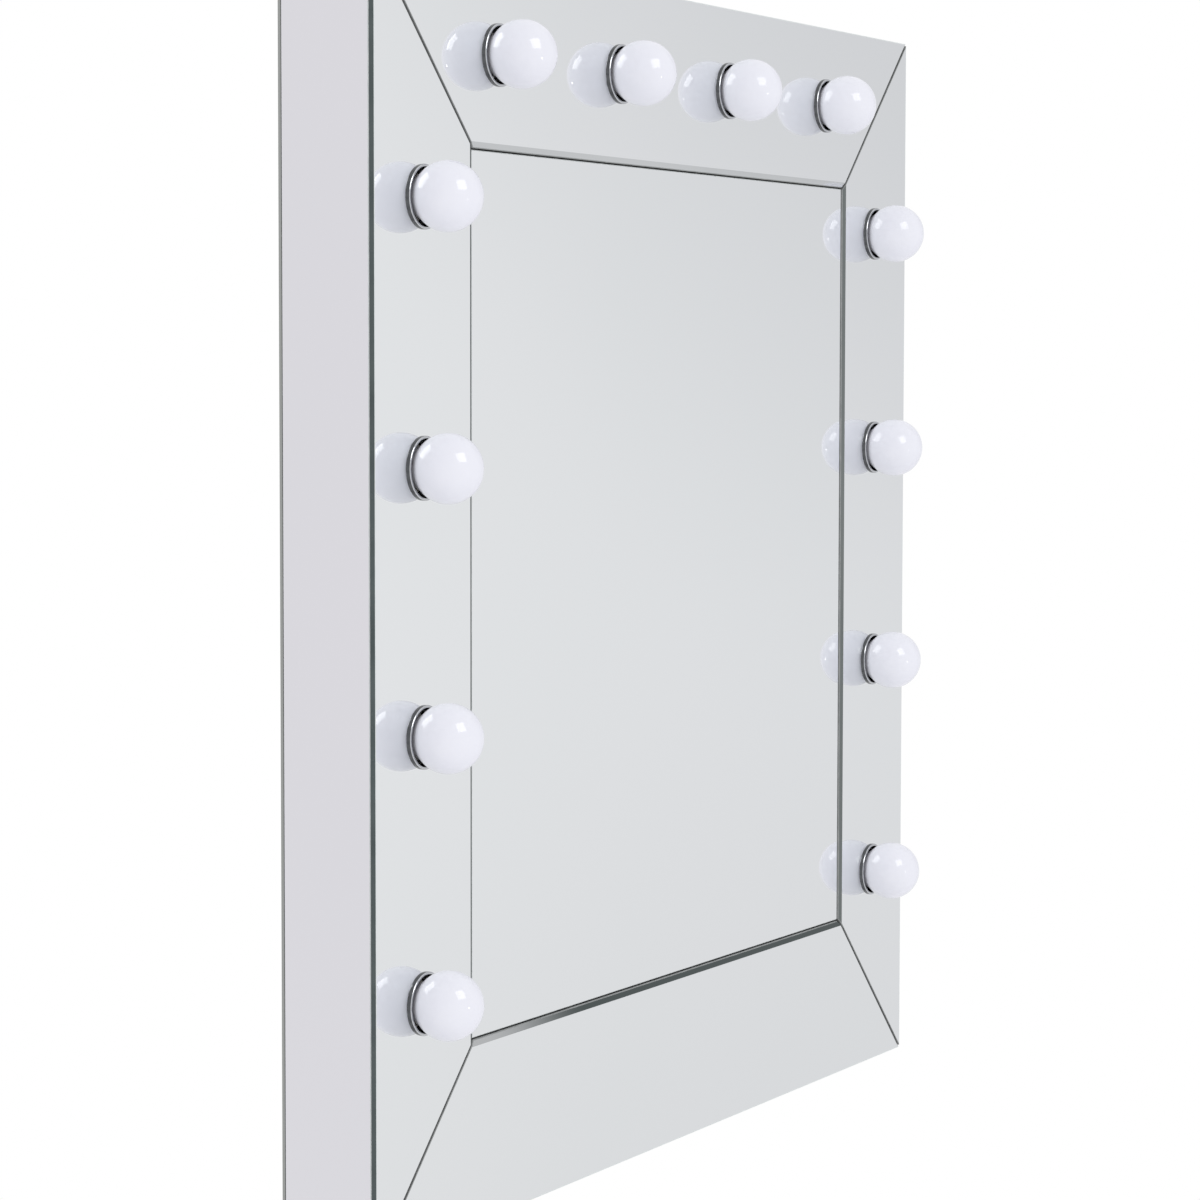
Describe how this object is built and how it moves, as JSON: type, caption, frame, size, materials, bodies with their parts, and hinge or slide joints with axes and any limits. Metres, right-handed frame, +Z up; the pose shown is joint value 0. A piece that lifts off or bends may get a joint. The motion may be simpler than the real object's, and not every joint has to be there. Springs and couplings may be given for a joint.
{
  "type": "lighted vanity mirror",
  "caption": "Square wall-hung vanity mirror, mirror-clad box with mitred mirror strips and globe lamps along the top and both sides; lamps draw out and a rocker switch tilts.",
  "frame": {"origin": "on the wall, at the centre of the back panel's rear face", "axes": "+X to the right as seen from the front, +Y into the wall, +Z up; the mirror faces -Y"},
  "size_m": [0.8, 0.107, 0.8035],
  "materials": {
    "mirror_glass": "silvered float glass, polished face, ground edges with a green tint",
    "black_board": "fibreboard painted matt black on its front face",
    "raw_fibreboard": "raw medium density fibreboard, sawn",
    "back_board": "thin black-faced hardboard",
    "zinc_plated_steel": "pressed steel, bright zinc plate",
    "yellow_zinc_steel": "steel screws, yellow zinc plate",
    "chrome_trim": "bright chrome plate, polished",
    "opal_globe": "opal white diffuser, glossy",
    "lamp_cap_metal": "nickel-plated screw cap",
    "holder_plastic": "moulded heat-resistant plastic",
    "wire_insulation": "single-core wire, brown and blue insulation",
    "terminal_plastic": "translucent white moulded plastic",
    "bush_rubber": "moulded black rubber",
    "switch_plastic": "fine-textured black plastic",
    "rocker_plastic": "glossy black plastic"
  },
  "bodies": {
    "cabinet": {"centre_mirror": "mirror_glass", "frame_mirror_left": "mirror_glass", "frame_mirror_right": "mirror_glass", "frame_mirror_top": "mirror_glass", "frame_mirror_bottom": "mirror_glass", "side_mirror_left": "mirror_glass", "side_mirror_right": "mirror_glass", "side_mirror_top": "mirror_glass", "side_mirror_bottom": "mirror_glass", "front_board": "black_board", "rail_left": "raw_fibreboard", "rail_right": "raw_fibreboard", "rail_top": "raw_fibreboard", "rail_bottom": "raw_fibreboard", "hanging_batten": "raw_fibreboard", "back_panel": "back_board", "keyhole_plates": "zinc_plated_steel", "wood_screws": "yellow_zinc_steel", "trim_ring_left_1": "chrome_trim", "trim_ring_left_2": "chrome_trim", "trim_ring_left_3": "chrome_trim", "trim_ring_left_4": "chrome_trim", "trim_ring_top_1": "chrome_trim", "trim_ring_top_2": "chrome_trim", "trim_ring_top_3": "chrome_trim", "trim_ring_top_4": "chrome_trim", "trim_ring_right_1": "chrome_trim", "trim_ring_right_2": "chrome_trim", "trim_ring_right_3": "chrome_trim", "trim_ring_right_4": "chrome_trim", "lampholders": "holder_plastic", "wiring_loom": "wire_insulation", "terminal_block": "terminal_plastic", "cable_bush": "bush_rubber", "switch_housing": "switch_plastic"},
    "bulb_left_1": {"bulb_globe_left_1": "opal_globe", "bulb_cap_left_1": "lamp_cap_metal"},
    "bulb_left_2": {"bulb_globe_left_2": "opal_globe", "bulb_cap_left_2": "lamp_cap_metal"},
    "bulb_left_3": {"bulb_globe_left_3": "opal_globe", "bulb_cap_left_3": "lamp_cap_metal"},
    "bulb_left_4": {"bulb_globe_left_4": "opal_globe", "bulb_cap_left_4": "lamp_cap_metal"},
    "bulb_top_1": {"bulb_globe_top_1": "opal_globe", "bulb_cap_top_1": "lamp_cap_metal"},
    "bulb_top_2": {"bulb_globe_top_2": "opal_globe", "bulb_cap_top_2": "lamp_cap_metal"},
    "bulb_top_3": {"bulb_globe_top_3": "opal_globe", "bulb_cap_top_3": "lamp_cap_metal"},
    "bulb_top_4": {"bulb_globe_top_4": "opal_globe", "bulb_cap_top_4": "lamp_cap_metal"},
    "bulb_right_1": {"bulb_globe_right_1": "opal_globe", "bulb_cap_right_1": "lamp_cap_metal"},
    "bulb_right_2": {"bulb_globe_right_2": "opal_globe", "bulb_cap_right_2": "lamp_cap_metal"},
    "bulb_right_3": {"bulb_globe_right_3": "opal_globe", "bulb_cap_right_3": "lamp_cap_metal"},
    "bulb_right_4": {"bulb_globe_right_4": "opal_globe", "bulb_cap_right_4": "lamp_cap_metal"},
    "rocker": {"switch_rocker": "rocker_plastic"}
  },
  "joints": [
    {"name": "bulb_left_1_out", "type": "slide", "parent": "cabinet", "child": "bulb_left_1", "axis": [0, -1, 0], "range_m": [0, 0.05]},
    {"name": "bulb_left_2_out", "type": "slide", "parent": "cabinet", "child": "bulb_left_2", "axis": [0, -1, 0], "range_m": [0, 0.05]},
    {"name": "bulb_left_3_out", "type": "slide", "parent": "cabinet", "child": "bulb_left_3", "axis": [0, -1, 0], "range_m": [0, 0.05]},
    {"name": "bulb_left_4_out", "type": "slide", "parent": "cabinet", "child": "bulb_left_4", "axis": [0, -1, 0], "range_m": [0, 0.05]},
    {"name": "bulb_top_1_out", "type": "slide", "parent": "cabinet", "child": "bulb_top_1", "axis": [0, -1, 0], "range_m": [0, 0.05]},
    {"name": "bulb_top_2_out", "type": "slide", "parent": "cabinet", "child": "bulb_top_2", "axis": [0, -1, 0], "range_m": [0, 0.05]},
    {"name": "bulb_top_3_out", "type": "slide", "parent": "cabinet", "child": "bulb_top_3", "axis": [0, -1, 0], "range_m": [0, 0.05]},
    {"name": "bulb_top_4_out", "type": "slide", "parent": "cabinet", "child": "bulb_top_4", "axis": [0, -1, 0], "range_m": [0, 0.05]},
    {"name": "bulb_right_1_out", "type": "slide", "parent": "cabinet", "child": "bulb_right_1", "axis": [0, -1, 0], "range_m": [0, 0.05]},
    {"name": "bulb_right_2_out", "type": "slide", "parent": "cabinet", "child": "bulb_right_2", "axis": [0, -1, 0], "range_m": [0, 0.05]},
    {"name": "bulb_right_3_out", "type": "slide", "parent": "cabinet", "child": "bulb_right_3", "axis": [0, -1, 0], "range_m": [0, 0.05]},
    {"name": "bulb_right_4_out", "type": "slide", "parent": "cabinet", "child": "bulb_right_4", "axis": [0, -1, 0], "range_m": [0, 0.05]},
    {"name": "switch_rock", "type": "hinge", "parent": "cabinet", "child": "rocker", "pos_m": [0.23, -0.027, -0.398], "axis": [0, 1, 0], "range_deg": [0, 20]}
  ]
}
